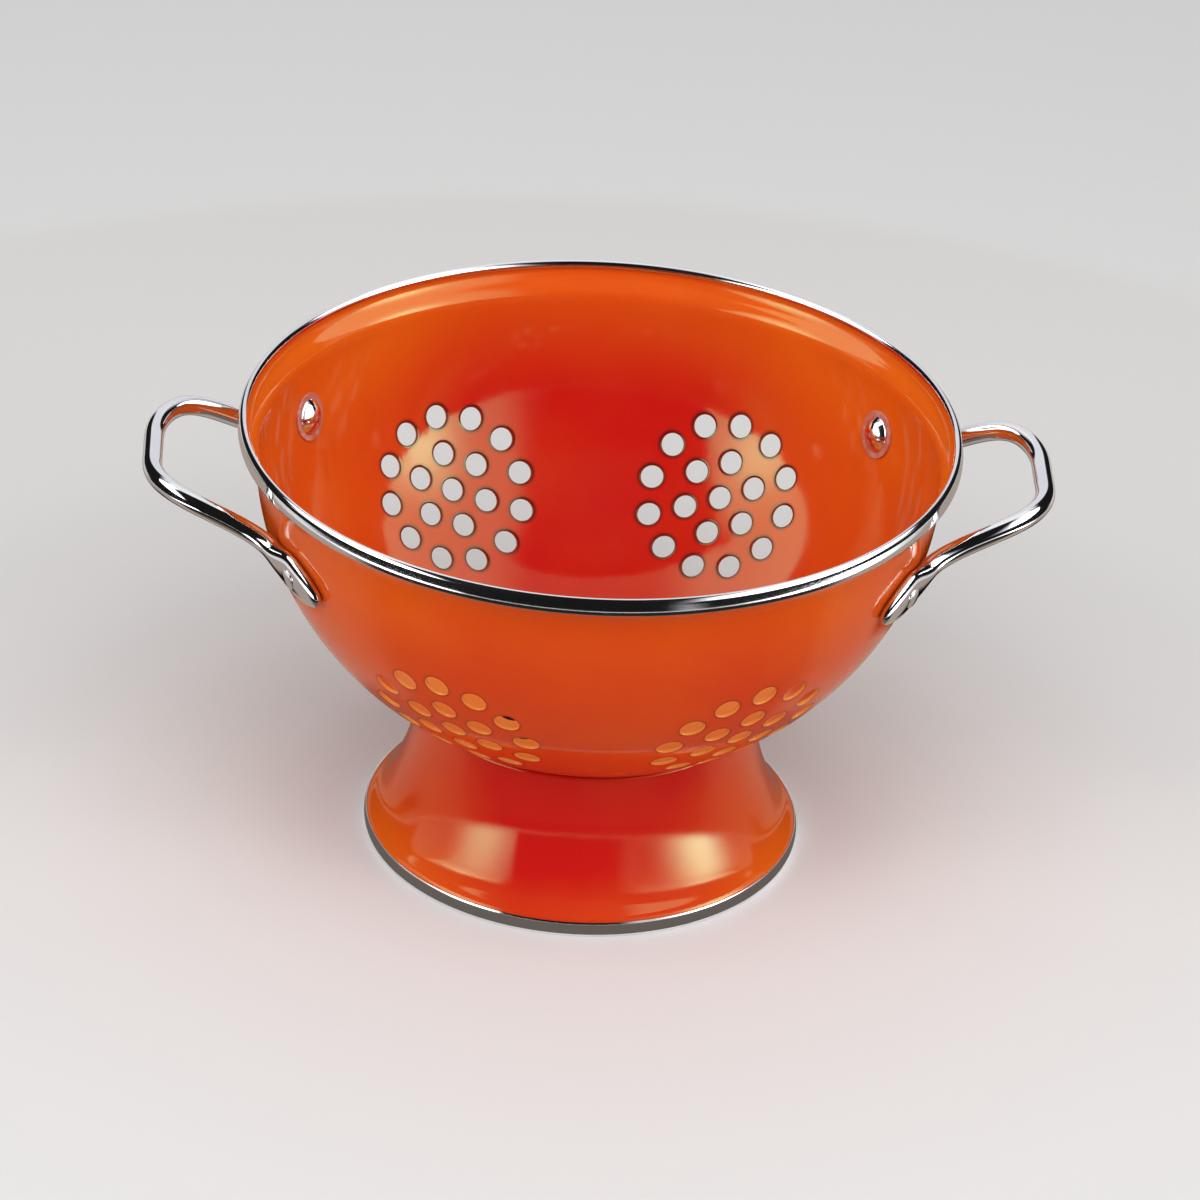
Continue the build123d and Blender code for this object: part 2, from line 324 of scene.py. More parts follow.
class Shader:
    """The nodes of a material or a world, built up one by one."""

    def __init__(self, owner: Owner, surface: str = "Principled BSDF") -> None:
        """Keeps the owner, its node tree and the node that its surface comes from."""
        owner.use_nodes = True
        self.owner = owner
        self.tree = owner.node_tree
        self.surface = self.tree.nodes[surface]

    def add(self, kind: str, settings: dict, inputs: dict, output: int | str = 0) -> Value:
        """Adds one node.

        Args:
            kind: The node's type.
            settings: Properties of the node, set first.
            inputs: Values or links of its sockets, by name or number.
            output: Which output the result reads.

        Returns:
            The chosen output as a value.
        """
        node = self.tree.nodes.new(kind)
        for key, setting in settings.items():
            setattr(node, key, setting)
        for key, value in inputs.items():
            self.feed(node.inputs[key], value)
        return Value(self, node.outputs[output])

    def feed(self, socket: bpy.types.NodeSocket, value: Input) -> None:
        """Links a value to a socket, or sets the socket to a number or colour."""
        if isinstance(value, Value):
            self.tree.links.new(value.socket, socket)
        else:
            socket.default_value = value

    def finish(self, **inputs: Input) -> Owner:
        """Sets the surface's sockets, named with _ for a space, and returns the owner."""
        for name, value in inputs.items():
            self.feed(self.surface.inputs[name.replace("_", " ")], value)
        return self.owner

    def place(self) -> Value:
        """The point's place on the piece, in metres."""
        return self.add("ShaderNodeTexCoord", {}, {}, "Object")

    def stored(self, name: str) -> Value:
        """A number kept on the piece's points."""
        return self.add("ShaderNodeAttribute", {"attribute_name": name}, {}, "Fac")

    def scaled(self, vector: Value, scale: Triple) -> Value:
        """A vector multiplied part by part."""
        return self.add("ShaderNodeVectorMath", {"operation": "MULTIPLY"}, {0: vector, 1: scale})

    def noise(self, vector: Value, scale: float, detail: float = 1.0, roughness: float = 0.5) -> Value:
        """Soft noise from 0 to 1."""
        inputs = {"Vector": vector, "Scale": scale, "Detail": detail, "Roughness": roughness}
        return self.add("ShaderNodeTexNoise", {"noise_dimensions": "3D"}, inputs, "Fac")

    def mix(self, share: Input, first: Input, second: Input) -> Value:
        """Colour between two colours."""
        return self.add("ShaderNodeMix", {"data_type": "RGBA"}, {0: share, 6: first, 7: second}, 2)

    def bump(self, height: Value, distance: float, under: Value | None = None) -> Value:
        """Normal of a surface raised by a height from 0 to 1 times a distance."""
        inputs = {"Strength": 1.0, "Distance": distance, "Height": height}
        if under is not None:
            inputs["Normal"] = under
        return self.add("ShaderNodeBump", {}, inputs)


@dataclass(frozen=True)
class Enamel:
    """Glossy vitreous enamel: deep red, with painted orange light, painted amber light and painted shade.

    Scales are in waves a metre and depths in metres. A flat grain is stretched upwards.
    """

    deep: Colour = (0.585, 0.010, 0.008, 1.0)
    # Painted light: the orange that the lit sides and upper wall turn to.
    warm: Colour = (0.79, 0.130, 0.008, 1.0)
    # Painted light: the amber of the lit inside bottom and the lit walls of the near holes.
    amber: Colour = (0.87, 0.26, 0.045, 1.0)
    # Dark red for specks of thin coat, and for painted shade at the hole edges.
    thin_and_shade: Colour = (0.110, 0.008, 0.008, 1.0)
    gloss_tint: Colour = (0.45, 1.0, 0.48, 1.0)
    roughness: float = 0.07
    smear_roughness: float = 0.06
    cloud_scale: float = 16.0
    cloud_share: float = 0.5
    speck_scale: float = 1500.0
    speck_share: float = 0.2
    edge_shade_share: float = 0.9
    smear_scale: float = 42.0
    smear_grain: Triple = (1.0, 1.0, 0.4)
    wave_scale: float = 55.0
    wave_grain: Triple = (1.0, 1.0, 0.35)
    wave_depth: float = 0.18 * MM
    peel_scale: float = 420.0
    peel_depth: float = 0.01 * MM

    def material(self, name: str) -> bpy.types.Material:
        """The enamel as a material, for pieces that store painted orange light, painted amber light and
        painted hole-edge shade on their points.
        """
        shader = Shader(bpy.data.materials.new(name))
        place = shader.place()
        cloud = shader.noise(place, self.cloud_scale, 3.0)
        # Painted orange light from the points, with cloudy tone at random on top.
        warmth = (shader.stored("warmth") + (cloud - 0.5) * self.cloud_share).clamped()
        colour = shader.mix(warmth, self.deep, self.warm)
        # Painted amber light.
        colour = shader.mix(shader.stored("amber"), colour, self.amber)
        speck = shader.noise(place, self.speck_scale).step(0.70, 0.78)
        colour = shader.mix(speck * self.speck_share, colour, self.thin_and_shade)
        # Painted shade at the hole edges.
        colour = shader.mix(shader.stored("hole_edge") * self.edge_shade_share, colour, self.thin_and_shade)
        smear = shader.noise(shader.scaled(place, self.smear_grain), self.smear_scale, 4.0, 0.6)
        waves = shader.noise(shader.scaled(place, self.wave_grain), self.wave_scale)
        peel = shader.noise(place, self.peel_scale)
        return shader.finish(
            Base_Color=colour,
            Roughness=smear.step(0.35, 0.85) * self.smear_roughness + self.roughness,
            Specular_Tint=self.gloss_tint,
            Normal=shader.bump(peel, self.peel_depth, shader.bump(waves, self.wave_depth)),
        )


@dataclass(frozen=True)
class Metal:
    """Bright metal with a thin film in places and fine marks."""

    colour: Colour = (0.84, 0.84, 0.86, 1.0)
    shade: Colour = (0.66, 0.65, 0.68, 1.0)
    roughness: float = 0.05
    film_roughness: float = 0.05
    mark_roughness: float = 0.03
    film_scale: float = 30.0
    mark_scale: float = 900.0
    mark_depth: float = 0.004 * MM

    def material(self, name: str) -> bpy.types.Material:
        """The metal as a material of that name."""
        shader = Shader(bpy.data.materials.new(name))
        place = shader.place()
        film = shader.noise(place, self.film_scale, 4.0, 0.6)
        marks = shader.noise(place, self.mark_scale, 2.0)
        worn = film.step(0.4, 0.75) * self.film_roughness + marks.step(0.55, 0.75) * self.mark_roughness
        return shader.finish(
            Base_Color=shader.mix(film.step(0.35, 0.8) * 0.5, self.colour, self.shade),
            Metallic=1.0,
            Roughness=worn + self.roughness,
            Normal=shader.bump(marks, self.mark_depth),
        )


@dataclass(frozen=True)
class PaleWasher:
    """Thin translucent plastic, a little yellowed and scuffed."""

    colour: Colour = (0.50, 0.15, 0.11, 1.0)
    scuffed: Colour = (0.60, 0.29, 0.23, 1.0)
    roughness: float = 0.32
    scuffed_roughness: float = 0.15
    blotch_scale: float = 320.0
    grain_scale: float = 1400.0
    grain_depth: float = 0.01 * MM

    def material(self, name: str) -> bpy.types.Material:
        """The plastic as a material of that name."""
        shader = Shader(bpy.data.materials.new(name))
        place = shader.place()
        blotch = shader.noise(place, self.blotch_scale, 3.0)
        return shader.finish(
            Base_Color=shader.mix(blotch.step(0.4, 0.7), self.colour, self.scuffed),
            Roughness=blotch * self.scuffed_roughness + self.roughness,
            Normal=shader.bump(shader.noise(place, self.grain_scale), self.grain_depth),
        )


# The object


@dataclass(frozen=True)
class Wall:
    """One face of the bowl's sheet: an ellipse of revolution that flares into a straight lip."""

    inset: float = 0.0
    equator: float = 145.0 * MM
    radius: float = 114.0 * MM
    depth: float = 107.0 * MM
    flare_height: float = 144.0 * MM
    lip_radius: float = 119.0 * MM
    lip_foot: float = 150.8 * MM
    lip_top: float = 154.0 * MM

    @property
    def axes(self) -> Array:
        """Half sizes of the ellipse of revolution."""
        return np.array([self.radius, self.radius, self.depth]) - self.inset

    @property
    def centre(self) -> Array:
        """Centre of the ellipse of revolution."""
        return np.array([0.0, 0.0, self.equator])

    def meridian(self, way: Array) -> Array:
        """Radius and height along the wall, from the pole up.

        From 0 to 1 the way follows the ellipse, r = a sin(q), z = equator - b cos(q). From 1 to 2 it
        follows the cubic with the slopes of the ellipse and of the lip, and from 2 to 3 the lip.

        Args:
            way: Place along the wall, from 0 to 3.

        Returns:
            Radius and height for each place.
        """
        wide, _, deep = self.axes
        flare = math.acos((self.equator - self.flare_height) / deep)
        angle = np.clip(way, 0.0, 1.0) * flare
        on_ellipse = np.stack([wide * np.sin(angle), self.equator - deep * np.cos(angle)], axis=-1)
        start = np.array([wide * math.sin(flare), self.equator - deep * math.cos(flare)])
        end = np.array([self.lip_radius - self.inset, self.lip_foot])
        reach = np.linalg.norm(end - start)
        leave = reach * unit(np.array([wide * math.cos(flare), deep * math.sin(flare)]))
        upright = np.array([0.0, 1.0])
        on_flare = cubic(np.clip(way - 1.0, 0.0, 1.0)[..., None], start, leave, end, reach * upright)
        up = np.clip(way - 2.0, 0.0, 1.0)[..., None] * (self.lip_top - self.lip_foot)
        return np.where(way[..., None] <= 1.0, on_ellipse, on_flare + up * upright)

    def lengths(self) -> tuple[Array, Array, Array]:
        """Ways from the pole to the top, with the profile and the length travelled at each."""
        ways = np.linspace(0.0, 3.0, 3001)
        profile = self.meridian(ways)
        return ways, profile, travelled(profile)

    def at(self, way: Array, angle: Array) -> Array:
        """Points at places along the wall and angles round it."""
        profile = self.meridian(way)
        return round_z(profile[..., 0], angle, profile[..., 1])

    def pierced(self, starts: Array, directions: Array) -> Array:
        """Points where lines leave the ellipse of revolution.

        With the space scaled so that the ellipse is a unit ball, the line o + s d leaves it at
        s = (-o.d + sqrt((o.d)^2 - d.d (o.o - 1))) / d.d.

        Args:
            starts: A point on each line.
            directions: The way each line leaves.

        Returns:
            The points on the wall.
        """
        origin, along = (starts - self.centre) / self.axes, directions / self.axes
        square = np.sum(along * along, axis=-1)
        product = np.sum(origin * along, axis=-1)
        rest = np.sum(origin * origin, axis=-1) - 1.0
        distance = (-product + np.sqrt(product**2 - square * rest)) / square
        return starts + distance[..., None] * directions

    def outside(self, points: Array, gap: float) -> Array:
        """Points, with any that lie in the wall moved out to a gap above it."""
        relative = points - self.centre
        size = np.linalg.norm(relative / (self.axes + gap), axis=-1, keepdims=True)
        return np.where(size < 1.0, self.centre + relative / size, points)

    def seat(self, azimuth: Array, height: Array | float) -> tuple[Array, Array, Array, Array]:
        """Place on the wall with the directions sideways, up the wall and outwards.

        Args:
            azimuth: Angle round the bowl in degrees, from +X.
            height: Height above the table.

        Returns:
            The place, and the three unit directions.
        """
        angle = np.radians(azimuth)
        wide, _, deep = self.axes
        drop = (self.equator - height) / deep
        lean = wide / deep * drop / np.sqrt(1 - drop**2)
        place = round_z(wide * np.sqrt(1 - drop**2), angle, height)
        sideways = round_z(1.0, angle + math.pi / 2, 0.0)
        outwards = unit(round_z(1.0, angle, -lean))
        return place, sideways, np.cross(outwards, sideways), outwards


@dataclass(frozen=True)
class Holes:
    """Round holes in the wall: the plane that each is punched from, its middle and its radius."""

    origin: Array
    sideways: Array
    upwards: Array
    outwards: Array
    middle: Array
    radius: Array
    reach: float = 20.0 * MM

    def on_plane(self, x: Array, y: Array) -> Array:
        """Points at places across and up each hole's plane, as (hole, place, xyz)."""
        across, up = self.sideways[:, None], self.upwards[:, None]
        return self.origin[:, None] + x[..., None] * across + y[..., None] * up

    def ring(self, wall: Wall, growth: float, around: int, depth: float = 0.0) -> Array:
        """Points of a ring round each hole, on a wall.

        Args:
            wall: The wall that the ring lies on.
            growth: How much wider than the hole the ring is.
            around: Points on each ring.
            depth: How far below the wall the ring lies, against the way outwards.

        Returns:
            Points as (hole, place round it, xyz).
        """
        size = (self.radius + growth)[:, None]
        x = self.middle[:, 0, None] + size * np.cos(turns(around))
        y = self.middle[:, 1, None] + size * np.sin(turns(around))
        starts = self.on_plane(x, y)
        directions = np.broadcast_to(self.outwards[:, None], starts.shape)
        return wall.pierced(starts, directions) - depth * directions

    def near(self, points: Array, growth: float) -> Array:
        """Which points lie within a hole's cylinder grown by a length."""
        offset = points[:, None] - self.on_plane(self.middle[:, :1], self.middle[:, 1:])[None, :, 0]
        along = np.sum(offset * self.outwards[None], axis=-1)
        across = np.linalg.norm(offset - along[..., None] * self.outwards[None], axis=-1)
        return ((across < self.radius + growth) & (np.abs(along) < self.reach)).any(axis=1)


@dataclass(frozen=True)
class Ramp:
    """A share reached smoothly over a length from a start, downwards where the length is negative."""

    start: float
    length: float
    share: float = 1.0

    def at(self, values: Array) -> Array:
        """The share at each value."""
        return self.share * eased((values - self.start) / self.length)


@dataclass(frozen=True)
class Bowl:
    """The pressed bowl with its five clusters of holes and its four rivet holes.

    Growths are how much wider than a hole's rounded edge the mesh's rings round it are. Painted orange
    light rises upwards and at both sides. Painted shade darkens the hole edges outside, and inside only
    on the far half; painted amber light lies on the near half's inside bottom and hole walls.
    """

    outer: Wall = Wall()
    inner: Wall = Wall(inset=SHEET)
    cluster_height: float = 83.3 * MM
    cluster_azimuths: tuple[float, ...] = (-60.0, -120.0, 60.0, 120.0)
    hole_radius: float = 3.9 * MM
    ring_pitch: float = 12.8 * MM
    ring_counts: tuple[int, ...] = (6, 12)
    rivet_radius: float = 2.6 * MM
    edge_bend: float = 0.5 * MM
    growths: tuple[float, ...] = (0.0, 0.55 * MM, 1.25 * MM)
    margin: float = 1.9 * MM
    mesh_step: float = 2.5 * MM
    around: int = 36
    bend_steps: int = 3
    # Painted shade: hole edges inside turn dark towards the far half, past this Y.
    far: Ramp = Ramp(25.0 * MM, 20.0 * MM)
    # Painted amber light on the inside bottom, below this height, on the near half only.
    low: Ramp = Ramp(66.0 * MM, -10.0 * MM)
    # Painted orange light, higher up the wall and further to the sides.
    painted_light_upwards: Ramp = Ramp(105.0 * MM, 45.0 * MM, 0.7)
    painted_light_sideways: Ramp = Ramp(35.0 * MM, 65.0 * MM, 0.75)
    # Painted shade on the two rings round each hole, outside and inside, and its start through the holes'
    # edges.
    outside_edge_shade: Pair = (0.6, 0.15)
    inside_edge_shade: Pair = (1.0, 0.35)
    edge_shade_start: float = -0.3
    # Painted amber light on the hole walls where they carry no painted shade.
    edge_amber: float = 0.9
    # Painted orange light kept outside, and its least shares outside, inside and through the holes.
    outside_warmth: float = 0.68
    least_warmths: Triple = (0.5, 0.0, 0.2)

    def holes(self) -> Holes:
        """Every hole of the bowl."""
        local = [np.zeros((1, 2))]
        for ring, count in enumerate(self.ring_counts, start=1):
            angle = math.pi / 2 + 2 * math.pi * np.arange(count) / count
            local.append(ring * self.ring_pitch * np.stack([np.cos(angle), np.sin(angle)], axis=1))
        pattern = np.concatenate(local)
        pole = self.outer.centre - [0.0, 0.0, self.outer.depth]
        bottom = [pole, [1.0, 0.0, 0.0], [0.0, -1.0, 0.0], [0.0, 0.0, -1.0]]
        clusters = self.outer.seat(np.array(self.cluster_azimuths), self.cluster_height)
        rivets = self.outer.seat(np.array(list(RIVETS.values())), RIVET_HEIGHT)
        planes = [
            np.concatenate([np.repeat([*cluster, lowest], len(pattern), axis=0), rivet])
            for cluster, lowest, rivet in zip(clusters, bottom, rivets)
        ]
        number = len(self.cluster_azimuths) + 1
        middle = np.concatenate([np.tile(pattern, (number, 1)), np.zeros((len(RIVETS), 2))])
        radius = np.repeat([self.hole_radius, self.rivet_radius], [number * len(pattern), len(RIVETS)])
        return Holes(*planes, middle, radius)

    def _field(self, holes: Holes) -> tuple[Array, Array, int]:
        """Places between the holes, as way along the wall and angle, and the last ring's count."""
        table, _, length = self.outer.lengths()
        rings = np.linspace(0.0, length[-1], math.ceil(length[-1] / self.mesh_step) + 1)[1:]
        ways = np.interp(rings, length, table)
        counts = np.ceil(2 * math.pi * self.outer.meridian(ways)[:, 0] / self.mesh_step).astype(int)
        starts = np.concatenate([[0], np.cumsum(counts)[:-1]])
        number = np.arange(counts.sum()) - np.repeat(starts, counts)
        shift = np.repeat(0.5 * (np.arange(len(rings)) % 2), counts)
        angle = 2 * math.pi * (number + shift) / np.repeat(counts, counts)
        way = np.repeat(ways, counts)
        kept = ~holes.near(self.outer.at(way, angle), self.edge_bend + self.margin)
        return way[kept], angle[kept], int(counts[-1])

    def _flat(self, points: Array) -> Array:
        """Points of the outer wall laid out flat, by distance from the pole along the wall and angle."""
        _, profile, length = self.outer.lengths()
        reach = np.interp(points[:, 2], profile[:, 1], length)
        return round_z(reach, np.arctan2(points[:, 1], points[:, 0]), 0.0)[:, :2]

    def build(self) -> Piece:
        """Both walls, the rounded hole edges between them and the lip, as one closed mesh."""
        holes = self.holes()
        way, angle, last_ring = self._field(holes)
        sides = []
        for wall in (self.outer, self.inner):
            rings = [holes.ring(wall, self.edge_bend + growth, self.around) for growth in self.growths]
            sides.append(np.concatenate([*(ring.reshape(-1, 3) for ring in rings), wall.at(way, angle)]))
        count, ring_size = len(sides[0]), len(holes.radius) * self.around
        triangles = self._triangles(self._flat(sides[0]), ring_size)
        strips, strip_points = self._hole_strips(holes, count)
        lip = np.arange(count - last_ring, count)
        after = np.roll(lip, -1)
        lip_quads = np.stack([lip + count, lip, after, after + count], axis=1)
        piece = new_piece(
            "bowl_enamel",
            np.concatenate([*sides, strip_points]),
            np.concatenate([strips, lip_quads]),
            np.concatenate([triangles[:, ::-1], triangles + count]),
        )
        store(piece, **self._tints(*sides, strip_points, ring_size))
        return piece

    def _tints(self, outside: Array, inside: Array, strips: Array, ring_size: int) -> dict[str, Array]:
        """Painted shade, painted amber light and painted orange light of the coat at each point.

        Args:
            outside: Points of the outer wall, the rings round the holes first.
            inside: Points of the inner wall, in the same order.
            strips: Points of the holes' rounded edges.
            ring_size: Points of one ring round every hole.

        Returns:
            The numbers for the enamel, by name.
        """
        plain = np.zeros(len(outside) - 2 * ring_size)
        outer, inner = (
            np.concatenate([np.repeat(shares, ring_size), plain])
            for shares in (self.outside_edge_shade, self.inside_edge_shade)
        )
        # Painted shade through the holes' rounded edges, on the far half only.
        through = eased(np.repeat(np.linspace(self.edge_shade_start, 1.0, 2 * self.bend_steps), self.around))
        across = np.tile(through, ring_size // self.around) * self.far.at(strips[:, 1])
        far = self.far.at(inside[:, 1])
        # Painted amber light: the near half's inside bottom and the holes' walls outside the painted
        # shade.
        bottom = self.low.at(inside[:, 2]) * (1.0 - far)
        # Painted orange light on both walls and through the holes, weaker outside.
        warmths = [self._warmth(*pair) for pair in zip((outside, inside, strips), self.least_warmths)]
        warmths[0] *= self.outside_warmth
        return {
            "hole_edge": np.concatenate([outer, inner * far, across]),
            "amber": np.concatenate([0.0 * outer, bottom, self.edge_amber * (1.0 - across)]),
            "warmth": np.concatenate(warmths),
        }

    def _warmth(self, points: Array, least: float) -> Array:
        """Painted orange light on the coat, growing upwards and towards the sides, from a least share up
        to 1.
        """
        turned = self.painted_light_upwards.at(points[:, 2]) + self.painted_light_sideways.at(np.abs(points[:, 0]))
        return least + (1.0 - least) * np.minimum(turned, 1.0)

    def _triangles(self, flat: Array, edge_points: int) -> Array:
        """Triangles over the flat layout, without those that fill a hole.

        Args:
            flat: Places of the points on the layout.
            edge_points: How many of the first points lie on the holes' edges.

        Returns:
            Three point numbers a row, anticlockwise on the layout.
        """
        triangles = np.array(delaunay_2d_cdt(flat.tolist(), [], [], 0, 1e-9)[2])
        hole = np.where(np.arange(len(flat)) < edge_points, np.arange(len(flat)) // self.around, -1)
        of_hole = hole[triangles]
        filling = (of_hole[:, 0] >= 0) & (of_hole == of_hole[:, :1]).all(axis=1)
        triangles = triangles[~filling]
        a, b, c = (flat[triangles[:, i]] for i in range(3))
        turned = (b - a)[:, 0] * (c - a)[:, 1] - (b - a)[:, 1] * (c - a)[:, 0] < 0
        triangles[turned] = triangles[turned][:, ::-1]
        return triangles

    def _hole_strips(self, holes: Holes, count: int) -> tuple[Array, Array]:
        """Rounded edges of the holes, from one wall to the other.

        A ring turned by an angle q from the wall lies f (1 - sin q) outside the hole and
        f (1 - cos q) below the wall, where f is the bend.

        Args:
            holes: The holes.
            count: Points on one wall, so that the edge rings can be found.

        Returns:
            The quads, and the points that they add.
        """
        angles = math.pi / 2 * np.arange(1, self.bend_steps + 1) / self.bend_steps
        bends = [(self.edge_bend * (1 - math.sin(q)), self.edge_bend * (1 - math.cos(q))) for q in angles]
        outer = [holes.ring(self.outer, growth, self.around, depth) for growth, depth in bends]
        inner = [holes.ring(self.inner, growth, self.around, -depth) for growth, depth in reversed(bends)]
        layers = np.stack([*outer, *inner], axis=1)
        number = len(holes.radius)
        edge = np.arange(number * self.around).reshape(number, 1, self.around)
        added = 2 * count + np.arange(layers.size // 3).reshape(number, 2 * self.bend_steps, self.around)
        grid = np.concatenate([edge, added, edge + count], axis=1)
        after = np.roll(grid, -1, axis=2)
        quads = np.stack([grid[:, :-1], after[:, :-1], after[:, 1:], grid[:, 1:]], axis=-1)
        return quads.reshape(-1, 4), layers.reshape(-1, 3)


@dataclass(frozen=True)
class Foot:
    """The flared foot: a flange under the bowl, a waist and a skirt, with painted orange light at its
    sides and hem.
    """

    bowl: Wall = Wall()
    gap: float = 0.03 * MM
    flange_radius: float = 48.0 * MM
    shoulder_radius: float = 58.5 * MM
    lip_radius: float = 73.1 * MM
    lip_height: float = 5.6 * MM
    sole: float = 0.9 * MM
    neck: Pair = (58.0 * MM, 45.9 * MM)
    skirt_shares: tuple[Pair, ...] = ((0.35, 0.11), (0.56, 0.28), (0.76, 0.51), (0.91, 0.77))
    skirt_start: Pair = (-0.08, -1.0)
    skirt_end: Pair = (0.5, -1.0)
    skirt_samples: int = 24
    flange_samples: int = 20
    bends: tuple[float, ...] = (2.2 * MM, 0.3 * MM, 0.3 * MM, 1.2 * MM, 0.2 * MM, 0.2 * MM)
    step: float = 1.0 * MM
    segments: int = 288
    # Painted orange light towards the sides and the hem.
    painted_light_sideways: Ramp = Ramp(25.0 * MM, 45.0 * MM, 0.6)
    painted_light_hem: Ramp = Ramp(22.0 * MM, -18.0 * MM, 0.3)

    def _under(self, radius: Array, gap: float) -> Array:
        """Radius and height of the surface a gap below the bowl."""
        wide, _, deep = self.bowl.axes + gap
        return np.stack([radius, self.bowl.equator - deep * np.sqrt(1 - (radius / wide) ** 2)], axis=1)

    def _skirt(self, inset: float) -> Array:
        """Radius and height from the shoulder down to the lip, moved inwards by an inset."""
        neck, lip = np.array(self.neck), np.array([self.lip_radius, self.lip_height])
        shares = np.array([(0.0, 0.0), *self.skirt_shares, (1.0, 1.0)])
        shoulder = self._under(np.array([self.shoulder_radius - inset]), inset)
        points = np.concatenate([shoulder, neck + (lip - neck) * shares[:, ::-1] - [inset, 0.0]])
        ways = unit(np.array([self.skirt_start, self.skirt_end]))
        curve = clamped_spline(points, *ways, self.skirt_samples)
        return np.concatenate([curve, [[self.lip_radius - inset, self.sole]]])

    def build(self) -> Piece:
        """The foot as one closed sheet of revolution."""
        outside, inside = self._skirt(0.0)[::-1], self._skirt(SHEET)
        ends = self.flange_radius, self.shoulder_radius
        flange = self._under(np.linspace(ends[1], ends[0], self.flange_samples), self.gap)
        under = self._under(np.linspace(ends[0], ends[1] - SHEET, self.flange_samples), SHEET)
        outside[-1], under[-1] = flange[0], inside[0]
        edge, hem = np.array([flange[-1], under[0]]), np.array([inside[-1], outside[0]])
        curves = [outside, flange, edge, under, inside, hem]
        outline = rounded_loop(curves, self.bends, self.step)
        piece = revolved("foot_enamel", outline, self.segments)
        places = np.zeros(len(piece.data.vertices) * 3, dtype=np.float32)
        piece.data.vertices.foreach_get("co", places)
        x, _, z = places.reshape(-1, 3).T
        # Painted orange light; the foot has no painted hole-edge shade and no painted amber light.
        warmth = np.minimum(self.painted_light_sideways.at(np.abs(x)) + self.painted_light_hem.at(z), 1.0)
        store(piece, hole_edge=0.0 * x, amber=0.0 * x, warmth=warmth)
        return piece


@dataclass(frozen=True)
class RimTrim:
    """The steel trim crimped over the bowl's lip, round on top and fuller towards its hem."""

    radius: float = 119.98 * MM
    top: float = 154.98 * MM
    width: float = 3.2 * MM
    height: float = 5.6 * MM
    inner_leg: float = 0.7 * MM
    hem_inset: float = 0.15 * MM
    wall: Wall = Wall()
    face_shares: tuple[Pair, ...] = (
        (0.11, 0.115), (0.44, 0.0), (0.79, 0.13), (0.93, 0.40), (1.0, 0.76)
    )
    face_end: Pair = (-0.3, -1.0)
    face_samples: int = 14
    bends: tuple[float, ...] = (0.35 * MM, 0.0, 0.2 * MM, 0.15 * MM, 0.1 * MM, 0.1 * MM, 0.15 * MM)
    step: float = 0.22 * MM
    segments: int = 360

    def build(self) -> Piece:
        """The trim as one closed ring.

        Its face is the smooth curve through points given as shares of the width, from the inner side
        out, and shares of the height, from the top down.
        """
        lip, lip_top = self.wall.lip_radius, self.wall.lip_top
        inner, mouth = self.radius - self.width, lip - SHEET
        crown, hem = self.top - self.width / 2, self.top - self.height
        low = crown - self.inner_leg
        face = [inner, self.top] + [self.width, -self.height] * np.array(self.face_shares)
        points = np.concatenate([[[inner, crown]], face, [[self.radius - self.hem_inset, hem]]])
        ends = np.array([0.0, 1.0]), unit(np.array(self.face_end))
        outside = clamped_spline(points, *ends, self.face_samples)[::-1]
        legs = chain([
            (inner, crown), (inner, low), (mouth, low), (mouth, lip_top), (lip, lip_top), (lip, hem)
        ])
        curves = [np.array([legs[-1][-1], outside[0]]), outside, *legs]
        outline = rounded_loop(curves, self.bends, self.step)
        return revolved("rim_trim_steel", outline, self.segments)


@dataclass(frozen=True)
class FootTrim:
    """The steel channel round the foot's lip, full in the middle and flat underneath."""

    radius: float = 73.8 * MM
    width: float = 2.6 * MM
    height: float = 5.6 * MM
    inner_leg: float = 2.6 * MM
    foot: Foot = Foot()
    face_pull: float = 0.5 * MM
    face_slope: float = 0.45
    face_samples: int = 12
    bends: tuple[float, ...] = (
        0.08 * MM, 0.06 * MM, 0.1 * MM, 0.1 * MM, 0.2 * MM, 0.25 * MM, 0.6 * MM, 0.4 * MM
    )
    step: float = 0.3 * MM
    segments: int = 288

    def build(self) -> Piece:
        """The trim as one closed ring, whose outer face is drawn in by a pull at its two edges."""
        lip, sole = self.foot.lip_radius, self.foot.sole
        inner, mouth = self.radius - self.width, lip - SHEET
        edge = self.radius - self.face_pull
        points = np.array([(edge, 0.0), (self.radius, 0.5 * self.height), (edge, self.height)])
        ends = unit(np.array([(self.face_slope, 1.0), (-self.face_slope, 1.0)]))
        face = clamped_spline(points, *ends, self.face_samples)
        legs = chain([
            tuple(face[-1]), (lip, self.height), (lip, sole), (mouth, sole),
            (mouth, self.inner_leg), (inner, self.inner_leg), (inner, 0.0), (edge, 0.0),
        ])
        outline = rounded_loop([face, *legs], self.bends, self.step)
        return revolved("foot_trim_steel", outline, self.segments)


